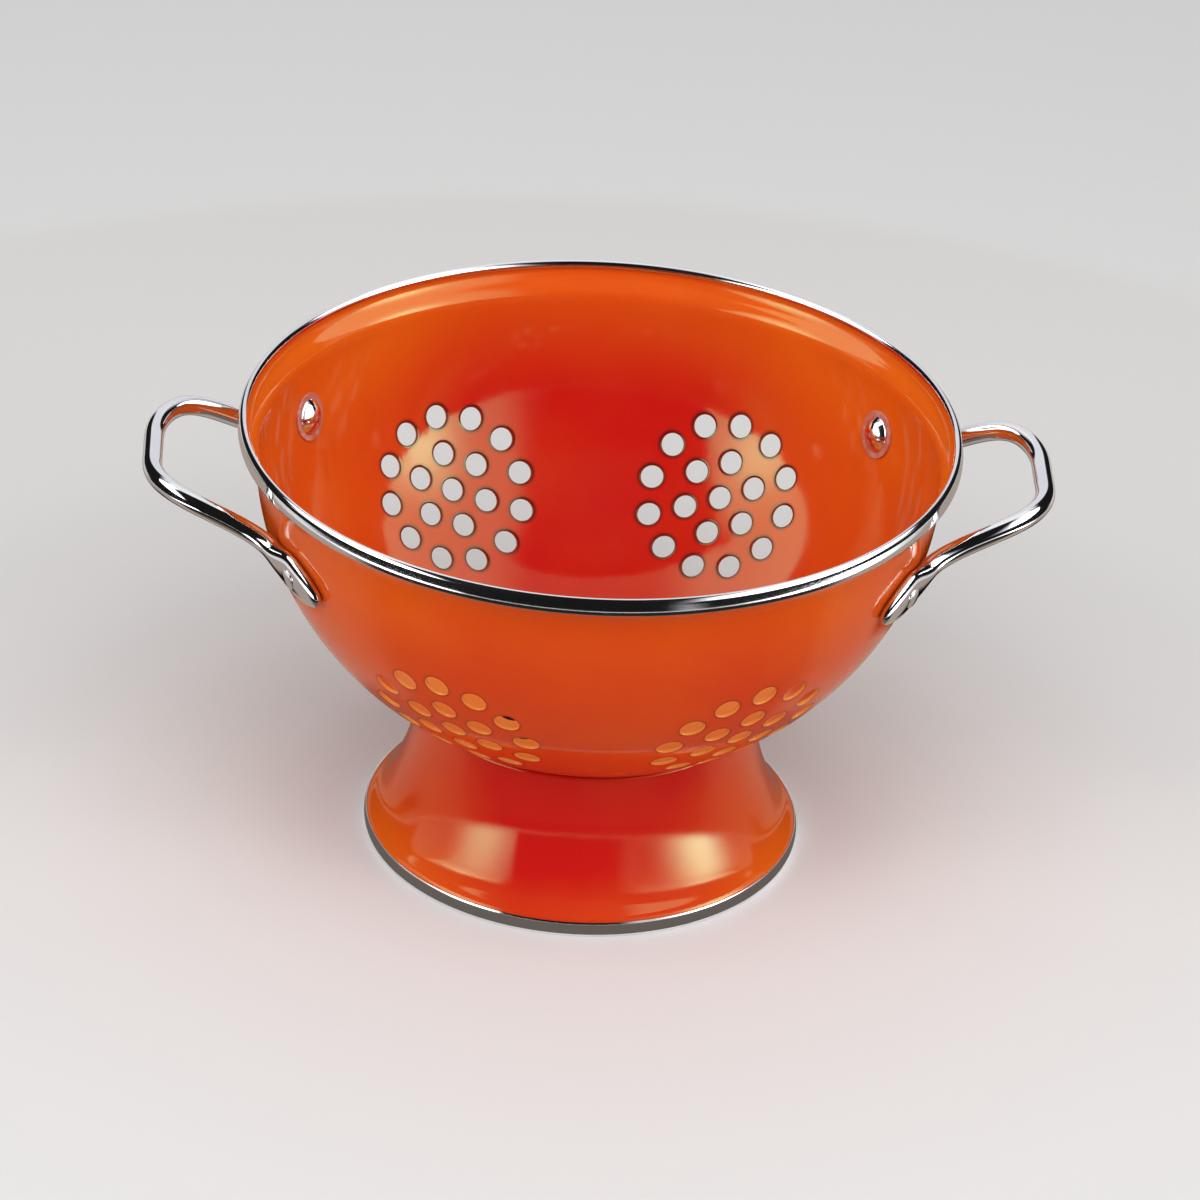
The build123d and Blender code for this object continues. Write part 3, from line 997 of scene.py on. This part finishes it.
@dataclass(frozen=True)
class Handle:
    """A bent round bar whose ends are forged into long pads that slope down the wall."""

    side: Side
    wall: Wall = Wall()
    bar_radius: float = 3.3 * MM
    landing_azimuth: float = 21.5
    tip_azimuth: float = 35.8
    landing_height: float = 127.8 * MM
    tip_height: float = 121.2 * MM
    lean: float = 15.0
    elbow: Triple = (138.0 * MM, 31.3 * MM, 139.6 * MM)
    grip: Triple = (147.7 * MM, 9.1 * MM, 139.6 * MM)
    pad_half_width: float = 7.2 * MM
    pad_stand_off: float = 2.0 * MM
    pad_half_thickness: float = 3.0 * MM
    pad_middle: float = 0.48
    pad_end: float = 1.02
    wall_gap: float = 0.04 * MM
    tip_gap: float = 0.2 * MM
    pad_samples: int = 120
    leg_samples: int = 80
    grip_samples: int = 30
    smooth_step: float = 0.3 * MM
    smooth_passes: int = 90
    tip_steps: float = 20.0
    tip_rings: int = 26
    tip_start: float = 0.02
    around: int = 48

    def _flattened(self, pad: float, way: Array) -> Array:
        """From the bar's radius to a pad's length, smoothly on the way to the pad's middle."""
        return self.bar_radius + (pad - self.bar_radius) * eased(way / self.pad_middle)

    def _pad(self, way: Array) -> tuple[Array, Array, Array]:
        """Middle line of the pad, with its directions across and outwards.

        The line follows the wall at an angle and a height that change evenly with the way. It lies
        nearer to the wall where the pad is flat.
        """
        azimuth = self.landing_azimuth + (self.tip_azimuth - self.landing_azimuth) * way
        height = self.landing_height + (self.tip_height - self.landing_height) * way
        place, _, upwards, outwards = self.wall.seat(azimuth, height)
        lift = self._flattened(self.pad_stand_off, way)
        return place + lift[:, None] * outwards, upwards, outwards

    def _section(self, way: Array) -> tuple[Array, Array]:
        """Half width and half thickness along the line.

        Both change from the bar's radius to the pad's as the pad flattens. Past the middle they close
        as 1 - u^2 to the power 0.5 and 0.3, with u the way from the middle to the tip.
        """
        close = 1.0 - np.clip((way - self.pad_middle) / (self.pad_end - self.pad_middle), 0.0, 1.0) ** 2
        half_width = self._flattened(self.pad_half_width, way)
        half_thickness = self._flattened(self.pad_half_thickness, way)
        return half_width * close**0.5, half_thickness * close**0.3

    def _line(self) -> Array:
        """The line from a pad's tip to the middle of the grip.

        Returns:
            For each point its place, the direction up the wall, the direction outwards and the way
            along the pad, which is 0 or less along the bar.
        """
        way = np.linspace(self.pad_end, 0.0, self.pad_samples)
        pad, upwards, outwards = self._pad(way)
        slope = unit(pad[-2] - pad[-1])
        lean = math.radians(self.lean)
        side_way = round_z(1.0, math.radians(self.landing_azimuth), 0.0)
        leaving = unit(side_way * math.sin(lean) - slope * math.cos(lean))
        points = np.array([pad[-1], self.elbow, self.grip])
        leg = clamped_spline(points, leaving, np.array([0.0, -1.0, 0.0]), self.leg_samples)
        straight = np.tile(self.grip, (self.grip_samples, 1))
        straight[:, 1] = np.linspace(self.grip[1], 0.0, self.grip_samples)
        bar = np.concatenate([leg[1:], straight[1:]])
        frames = [
            np.concatenate([pad, bar]),
            np.concatenate([upwards, np.tile(upwards[-1], (len(bar), 1))]),
            np.concatenate([outwards, np.tile(outwards[-1], (len(bar), 1))]),
            np.concatenate([way, np.zeros(len(bar))])[:, None],
        ]
        return spaced(np.concatenate(frames, axis=1), self.smooth_step)

    def build(self, name: str) -> Piece:
        """The whole handle: half of it swept along its line, and the other half mirrored in Y."""
        table = self._line()
        count = len(table)
        for _ in range(self.smooth_passes):
            table[1:-1, :9] = (table[:-2, :9] + 2 * table[1:-1, :9] + table[2:, :9]) / 4
        near_tip = 1.0 - np.cos(np.linspace(0.0, math.pi / 2, self.tip_rings))
        rest = np.arange(self.tip_steps + 2.0, count - 1.0, 2.0)
        places = np.concatenate([self.tip_start + self.tip_steps * near_tip, rest, [count - 1.0]])
        table = read_at(places, np.arange(count), table)
        line, up, out = table[:, :3], table[:, 3:6], table[:, 6:9]
        widths, thick = self._section(table[:, 9])
        along = unit(np.gradient(line, axis=0))
        up = unit(up - np.sum(up * along, axis=1, keepdims=True) * along)
        across = np.cross(along, up)
        across *= np.sign(np.sum(across * out, axis=1))[0]
        angle = turns(self.around)[None, :, None]
        rings = (
            line[:, None]
            + widths[:, None, None] * np.cos(angle) * up[:, None]
            + thick[:, None, None] * np.sin(angle) * across[:, None]
        )
        rings = self.wall.outside(rings, self.wall_gap)
        mirror = np.array([1.0, -1.0, 1.0])
        whole = np.concatenate([rings, rings[-2::-1] * mirror])
        if self.side is Side.RIGHT:
            whole = whole[:, ::-1]
        turn = np.array([float(self.side.value), 1.0, 1.0])
        tip = self.wall.outside(line[0], self.tip_gap) * turn
        return capped_tube(name, whole * turn, tip, tip * mirror)


@dataclass(frozen=True)
class Rivet:
    """A rivet and the thin washer under its head.

    Profile points are given inwards from a radius and outwards from a face. An inset is how far a
    cap starts inside the cylinder that it closes.
    """

    azimuth: float
    outer: Wall = Wall()
    inner: Wall = Wall(inset=SHEET)
    head_radius: float = 6.2 * MM
    head_rise: float = 3.2 * MM
    head_edge: float = 0.5 * MM
    head_inset: float = 0.25 * MM
    head_samples: int = 22
    head_flank: tuple[Pair, ...] = (
        (0.06 * MM, -0.48 * MM), (0.0, -0.3 * MM), (0.0, 0.1 * MM)
    )
    shank_radius: float = 2.5 * MM
    shank_start: float = 0.2 * MM
    shank_end: float = -0.6 * MM
    tail_radius: float = 3.6 * MM
    tail_rise: float = 0.9 * MM
    tail_inset: float = 0.12 * MM
    tail_samples: int = 14
    tail_flank: Pair = (-0.5 * MM, -0.05 * MM)
    pad_thickness: float = 5.0 * MM
    washer_radius: float = 8.2 * MM
    washer_hole: float = 2.6 * MM
    washer_thickness: float = 0.8 * MM
    washer_bend: float = 0.25 * MM
    washer_step: float = 0.6 * MM
    around: int = 64

    def _axis(self) -> tuple[Array, Array, Array]:
        """Where the rivet's axis meets the outer wall, unit spokes round it, and the way outwards."""
        seat, sideways, upwards, outwards = self.outer.seat(self.azimuth, RIVET_HEIGHT)
        angle = turns(self.around)[:, None]
        return seat, np.cos(angle) * sideways + np.sin(angle) * upwards, outwards

    @staticmethod
    def _cap(radius: float, rise: float, count: int) -> Array:
        """Radius and rise of a round cap, from its edge to near its top."""
        ball = (radius**2 + rise**2) / (2 * rise)
        turn = np.linspace(math.asin(radius / ball), 0.0, count)[:-1]
        return np.stack([ball * np.sin(turn), ball * np.cos(turn) - (ball - rise)], axis=1)

    def build_rivet(self, name: str) -> Piece:
        """Head, shank and low tail turned about the rivet's own axis."""
        seat, spokes, outwards = self._axis()
        face, pad = -(SHEET + self.washer_thickness), self.pad_thickness
        rise = self.head_rise - self.head_edge
        dome = self._cap(self.head_radius - self.head_inset, rise, self.head_samples)
        head = np.stack([dome[:, 0], face - self.head_edge - dome[:, 1]], axis=1)
        flank = [(self.head_radius - inwards, face + up) for inwards, up in self.head_flank]
        flank += [(self.shank_radius, face + self.shank_start), (self.shank_radius, pad + self.shank_end)]
        flank += [(self.tail_radius, pad + up) for up in self.tail_flank]
        low = self._cap(self.tail_radius - self.tail_inset, self.tail_rise, self.tail_samples)
        profile = np.concatenate([head[::-1], flank, low + [0.0, pad]])
        rings = seat + profile[:, 0, None, None] * spokes[None] + profile[:, 1, None, None] * outwards
        first, last = seat + (face - self.head_rise) * outwards, seat + (pad + self.tail_rise) * outwards
        return capped_tube(name, rings, first, last)

    def build_washer(self, name: str) -> Piece:
        """A thin disc that follows the bowl's inner wall, with rounded edges.

        A point at radius r and side s from 0 to 1 lies where the line along the rivet's axis leaves
        the inner wall, moved inwards by s times the thickness.
        """
        seat, spokes, outwards = self._axis()
        hole, edge, thick = self.washer_hole, self.washer_radius, self.washer_thickness
        sides = chain([(hole, 0.0), (edge, 0.0), (edge, thick), (hole, thick), (hole, 0.0)])
        outline = rounded_loop(sides, (self.washer_bend,) * len(sides), self.washer_step, 5)
        starts = seat + outline[:, 0, None, None] * spokes[None]
        base = self.inner.pierced(starts, np.broadcast_to(outwards, starts.shape))
        quads = grid_quads(len(outline), self.around, True, True)
        return new_piece(name, base - outline[:, 1, None, None] * outwards, quads[:, ::-1])


# The studio


def way_to(azimuth: Array, elevation: Array) -> Array:
    """Unit directions: (cos e cos a, cos e sin a, sin e), with the angles in degrees."""
    a, e = np.radians(azimuth), np.radians(elevation)
    return np.stack([np.cos(e) * np.cos(a), np.cos(e) * np.sin(a), np.sin(e)], axis=-1)


def swept(first: tuple, second: tuple, rows: int = 121, columns: int = 97) -> tuple[Array, ...]:
    """Two numbers over a grid: the first changes from row to row, the second along each row."""
    return tuple(np.meshgrid(np.linspace(*first, rows), np.linspace(*second, columns), indexing="ij"))


@dataclass(frozen=True)
class Lamp:
    """One large soft lamp that gives light but no reflection of its own."""

    name: str
    azimuth: float
    elevation: float
    distance: float
    width: float
    height: float
    radiance: float

    def build(self, target: Vector) -> None:
        """Hangs the lamp and turns it to the target."""
        way = Vector(way_to(self.azimuth, self.elevation))
        light = bpy.data.lights.new(self.name, "AREA")
        light.shape = "RECTANGLE"
        light.size = self.width
        light.size_y = self.height
        light.energy = self.radiance * math.pi * self.width * self.height
        lamp = bpy.data.objects.new(self.name, light)
        lamp.location = target + way * self.distance
        lamp.rotation_euler = (-way).to_track_quat("-Z", "Y").to_euler()
        lamp.visible_camera = False
        lamp.visible_glossy = False
        bpy.context.scene.collection.objects.link(lamp)


@dataclass(frozen=True)
class Card:
    """A card that shows in reflections only: a soft box's face, a dark flag or a sheet."""

    name: str

    def hang(self, points: Array, cover: Array, glow: Array, colour: Colour = WHITE) -> None:
        """Makes the card's surface and hides it from everything but reflections.

        Args:
            points: Its points on a grid, as (row, column, xyz).
            cover: How solid it is at each point, from 0 to 1.
            glow: Its radiance at each point.
            colour: The colour of its glow.
        """
        card = new_piece(self.name, points, grid_quads(*cover.shape, False, False))
        store(card, cover=cover, glow=glow)
        shader = Shader(bpy.data.materials.new(self.name), "Material Output")
        light = shader.add("ShaderNodeEmission", {}, {"Strength": shader.stored("glow"), "Color": colour})
        clear = shader.add("ShaderNodeBsdfTransparent", {}, {})
        blend = shader.add("ShaderNodeMixShader", {}, {0: shader.stored("cover"), 1: clear, 2: light})
        card.data.materials.append(shader.finish(Surface=blend))
        card.visible_camera = False
        card.visible_diffuse = False
        card.visible_shadow = False


@dataclass(frozen=True)
class SoftBox(Card):
    """The face of a soft box beside the camera, part of a ball about the object.

    Offsets are angles from the front, positive to its own side. Edges are the widths over which it
    fades: inner, outer, low and high. Its outer limit moves out by the slant times the height, by the
    reach at most. Its glow is even with hot spots exp(-d^2 / s^2) on it, with d the angle from the
    spot. A spot is its offset, height, size s and strength.
    """

    side: Side
    distance: float
    offsets: Pair
    edges: tuple[float, float, float, float]
    elevations: Pair
    level: float
    spots: tuple[tuple[float, float, float, float], ...]
    slant: float = 0.0
    reach: float = 60.0
    front: float = -90.0

    def build(self, target: Array) -> None:
        """Builds the box's face about the target."""
        widest = self.offsets[1] + self.reach * min(self.slant, 1.0)
        offset, elevation = swept((self.offsets[0], widest), self.elevations)
        points = target + self.distance * way_to(self.front + self.side.value * offset, elevation)
        inner, outer, low, high = self.edges
        limit = self.offsets[1] + np.minimum(self.slant * elevation, self.reach)
        cover = (
            eased((offset - self.offsets[0]) / inner)
            * eased((limit - offset) / outer)
            * eased((elevation - self.elevations[0]) / low)
            * eased((self.elevations[1] - elevation) / high)
        )
        glow = np.full_like(cover, self.level)
        for place, height, size, strength in self.spots:
            glow += strength * np.exp(-((offset - place) ** 2 + (elevation - height) ** 2) / size**2)
        self.hang(points, cover, glow)


@dataclass(frozen=True)
class Flag(Card):
    """A dark card on a ball about the object, between two azimuths and two elevations.

    Its cover falls off where the direction's own angle from the plane x = 0 passes a limit, which is
    given for its left and its right side and does not narrow towards the top.
    """

    distance: float
    azimuths: Pair
    elevations: Pair
    edges: Pair
    limits: Pair = (180.0, 180.0)
    softness: Pair = (1.0, 1.0)
    level: float = 0.01

    def build(self, target: Array) -> None:
        """Builds the flag about the target."""
        azimuth, elevation = swept(self.azimuths, self.elevations)
        ways = way_to(azimuth, elevation)
        lean = np.degrees(np.arcsin(np.clip(ways[..., 0], -1.0, 1.0)))
        ends, low = self.edges
        cover = (
            eased((azimuth - self.azimuths[0]) / ends)
            * eased((self.azimuths[1] - azimuth) / ends)
            * eased((elevation - self.elevations[0]) / low)
            * eased((self.limits[0] + lean) / self.softness[0])
            * eased((self.limits[1] - lean) / self.softness[1])
        )
        self.hang(target + self.distance * ways, cover, np.full_like(cover, self.level))


@dataclass(frozen=True)
class FloorCard(Card):
    """A sheet seen only in reflections, with a warm glow round the foot that paints its floor's
    reflection: dim in front, bright beside, with two dark patches.

    In front its glow follows the distance from the middle by straight steps between the given points.
    The glow beside starts at an angle from the front, over a second angle, and stays dim out to the
    contact radius as painted contact shade. The dark patches are painted shade; they lie at an angle to
    both sides, with a half width and a soft edge, between two radii.
    """

    radii: Pair = (0.0743, 0.49)
    height: float = 0.3 * MM
    contact_shade: float = 0.095
    front: Pair = (62.0, 14.0)
    back: Triple = (128.0, 22.0, 10.0)
    back_radii: Pair = (0.165, 0.30)
    back_edge: float = 0.05
    edge: float = 0.02
    glow_at: tuple[Pair, ...] = ((0.085, 0.15), (0.250, 0.15), (0.265, 0.02))
    beside: float = 0.42
    colour: Colour = (1.0, 0.84, 0.72, 1.0)

    def build(self) -> None:
        """Builds the sheet."""
        radius, turn = swept(self.radii, (-180.0, 180.0), 181, 361)
        away = np.abs(turn)
        # Painted contact shade: the glow beside stays dim close to the foot.
        clear = eased((radius - self.contact_shade) / self.edge)
        middle, half, soft = self.back
        near, far = self.back_radii
        # Painted shade: two dark patches towards the back of the foot.
        dark = 1.0 - eased((np.abs(away - middle) - half) / soft)
        dark *= eased((radius - near) / self.edge) * eased((far - radius) / self.back_edge)
        places, levels = np.array(self.glow_at).T
        aside = eased((away - self.front[0]) / self.front[1])
        beside = (levels[0] + (self.beside - levels[0]) * clear) * (1.0 - dark)
        glow = np.interp(radius, places, levels) * (1.0 - aside) + beside * aside
        points = round_z(radius, np.radians(turn - 90.0), self.height)
        self.hang(points, eased((self.radii[1] - radius) / self.edge), glow, self.colour)


@dataclass(frozen=True)
class Studio:
    """A pale floor, soft boxes, a plain world and the camera at the photograph's angle."""

    target: Triple = (2.7 * MM, -0.2 * MM, 87.4 * MM)
    camera: Triple = (-98.0 * MM, -2004.0 * MM, 1226.6 * MM)
    roll: float = 3.15
    focal_pixels: float = 6883.0
    image_pixels: float = 1200.0
    sensor: float = 36.0
    floor_radii: tuple[float, ...] = (30.0, 2.0, 0.3)
    floor_segments: int = 96
    floor_colour: Colour = (0.78, 0.775, 0.77, 1.0)
    floor_drift: float = 0.98
    floor_scale: float = 1.3
    floor_roughness: float = 0.55
    pale: Colour = (0.80, 0.81, 0.85, 1.0)
    fill: Colour = (0.44, 0.44, 0.44, 1.0)
    lamps: tuple[Lamp, ...] = (
        Lamp("right_fill", -28.0, 24.0, 1.9, 1.0, 1.2, 2.2),
        Lamp("left_fill", -152.0, 24.0, 1.9, 1.0, 1.2, 2.2),
        Lamp("front_fill", -90.0, 58.0, 2.2, 1.7, 1.7, 3.0),
    )
    boxes: tuple[SoftBox, ...] = (
        SoftBox(
            "right_box", Side.RIGHT, 1.2, (24.0, 62.0), (16.0, 3.0, 3.0, 20.0), (-2.5, 75.0),
            2.6, ((70.0, 19.0, 14.0, 9.5),), 1.7,
        ),
        SoftBox(
            "left_box", Side.LEFT, 1.2, (38.0, 62.0), (4.0, 3.0, 3.0, 20.0), (-2.5, 75.0),
            3.0, ((67.0, 20.0, 13.0, 6.0),), 1.7,
        ),
        SoftBox(
            "right_low", Side.RIGHT, 0.45, (20.0, 100.0), (12.0, 30.0, 3.0, 12.0), (-11.0, 14.0),
            0.5, ((66.0, -6.5, 16.0, 14.0),),
        ),
        SoftBox(
            "left_low", Side.LEFT, 0.45, (36.0, 92.0), (4.0, 30.0, 3.0, 12.0), (-11.0, 14.0),
            0.6, ((56.0, -5.5, 15.0, 7.5),),
        ),
        SoftBox(
            "top_back", Side.RIGHT, 1.3, (120.0, 240.0), (20.0, 20.0, 10.0, 4.0), (38.0, 88.0),
            1.0, (),
        ),
    )
    flags: tuple[Flag, ...] = (
        Flag("front_flag", 0.5, (-180.0, 0.0), (-9.5, 89.5), (1.0, 0.5), (44.0, 30.0), (6.0, 14.0)),
        Flag("back_right_flag", 1.3, (12.0, 68.0), (-3.5, 54.0), (4.0, 0.5)),
        Flag("back_left_flag", 1.3, (112.0, 168.0), (-3.5, 54.0), (4.0, 0.5)),
        Flag("foot_right_flag", 0.28, (-75.0, 10.0), (3.0, 19.0), (8.0, 6.0)),
        Flag("foot_left_flag", 0.28, (-190.0, -105.0), (3.0, 19.0), (8.0, 6.0)),
        Flag("near_right_flag", 0.21, (-75.0, 10.0), (8.0, 23.0), (8.0, 1.5)),
        Flag("near_left_flag", 0.21, (-190.0, -105.0), (8.0, 23.0), (8.0, 1.5)),
    )

    def build(self) -> None:
        """Sets up the floor, the lamps, the cards, the world and the camera."""
        bpy.context.scene.view_settings.view_transform = "Standard"
        self._floor()
        for lamp in self.lamps:
            lamp.build(Vector(self.target))
        for card in (*self.boxes, *self.flags):
            card.build(np.array(self.target))
        FloorCard("floor_card").build()
        self._world()
        self._camera()

    def _floor(self) -> None:
        """A wide round floor at the height that the foot stands on."""
        rows, count = len(self.floor_radii), self.floor_segments
        rings = round_z(np.array(self.floor_radii)[:, None], turns(count), 0.0)
        points = np.concatenate([rings.reshape(-1, 3), np.zeros((1, 3))])
        place = (rows - 1) * count + np.arange(count)
        fan = np.stack([place, np.roll(place, -1), np.full(count, rows * count)], axis=1)
        floor = new_piece("floor", points, grid_quads(rows, count, False, True), fan)
        shader = Shader(bpy.data.materials.new("pale_floor"))
        drifted = tuple(self.floor_drift * c for c in self.floor_colour[:3]) + (1.0,)
        drift = shader.noise(shader.place(), self.floor_scale, 2.0)
        shade = shader.mix(drift, self.floor_colour, drifted)
        floor.data.materials.append(shader.finish(Base_Color=shade, Roughness=self.floor_roughness))

    def _world(self) -> None:
        """A pale room for the camera and for reflections, and an even fill for the rest."""
        shader = Shader(bpy.data.worlds.new("room"), "Background")
        seen, *others = (
            shader.add("ShaderNodeLightPath", {}, {}, f"Is {kind} Ray")
            for kind in ("Camera", "Glossy", "Transmission")
        )
        for other in others:
            seen = shader.add("ShaderNodeMath", {"operation": "MAXIMUM"}, {0: seen, 1: other})
        bpy.context.scene.world = shader.finish(Color=shader.mix(seen, self.fill, self.pale))

    def _camera(self) -> None:
        """The photograph's camera, leaning a little so that the right side sits lower."""
        data = bpy.data.cameras.new("camera")
        data.sensor_width = self.sensor
        data.lens = self.focal_pixels / self.image_pixels * self.sensor
        data.clip_end = 100.0
        start, aim = Vector(self.camera), Vector(self.target)
        look = (aim - start).normalized()
        right = look.cross(Vector((0.0, 0.0, 1.0))).normalized()
        up = right.cross(look)
        lean = math.radians(self.roll)
        leaned_right = right * math.cos(lean) + up * math.sin(lean)
        leaned_up = up * math.cos(lean) - right * math.sin(lean)
        turn = Matrix((leaned_right, leaned_up, -look)).transposed()
        camera = bpy.data.objects.new("camera", data)
        camera.matrix_world = Matrix.Translation(start) @ turn.to_4x4()
        bpy.context.scene.collection.objects.link(camera)
        bpy.context.scene.camera = camera


def dress(piece: Piece, node: str, material: bpy.types.Material) -> None:
    """Gives a piece its material and its place on the frame.

    Args:
        piece: The new piece.
        node: The CAD node that it stands for.
        material: The finish.
    """
    piece.data.materials.append(material)
    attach(piece, BODY)
    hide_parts(node)
    log.info("%s stands for %s with %d faces", piece.name, node, len(piece.data.polygons))


def main() -> None:
    """Builds the colander piece by piece, and then the studio."""
    logging.basicConfig(level=logging.INFO, format="%(message)s")
    enamel = Enamel()
    bowl_enamel = enamel.material("bowl_red_enamel")
    foot_enamel = enamel.material("foot_red_enamel")
    trim_steel = Metal(roughness=0.07).material("trim_steel")
    bar_plate = Metal(colour=(0.86, 0.86, 0.88, 1.0), roughness=0.04).material("bar_plate")
    rivet_steel = Metal(roughness=0.09).material("rivet_steel")
    washer_plastic = PaleWasher().material("washer_plastic")
    dress(Bowl().build(), "bowl", bowl_enamel)
    dress(Foot().build(), "foot", foot_enamel)
    dress(RimTrim().build(), "rim_trim", trim_steel)
    dress(FootTrim().build(), "foot_trim", trim_steel)
    for side in Side:
        name = side.name.lower()
        dress(Handle(side).build(f"handle_{name}_bar"), f"handle_{name}", bar_plate)
    for place in ("right_back", "right_front", "left_back", "left_front"):
        rivet = Rivet(RIVETS[place])
        dress(rivet.build_rivet(f"rivet_{place}_steel"), f"rivet_{place}", rivet_steel)
        dress(rivet.build_washer(f"washer_{place}_disc"), f"washer_{place}", washer_plastic)
    Studio().build()


if __name__ == "__main__":
    main()
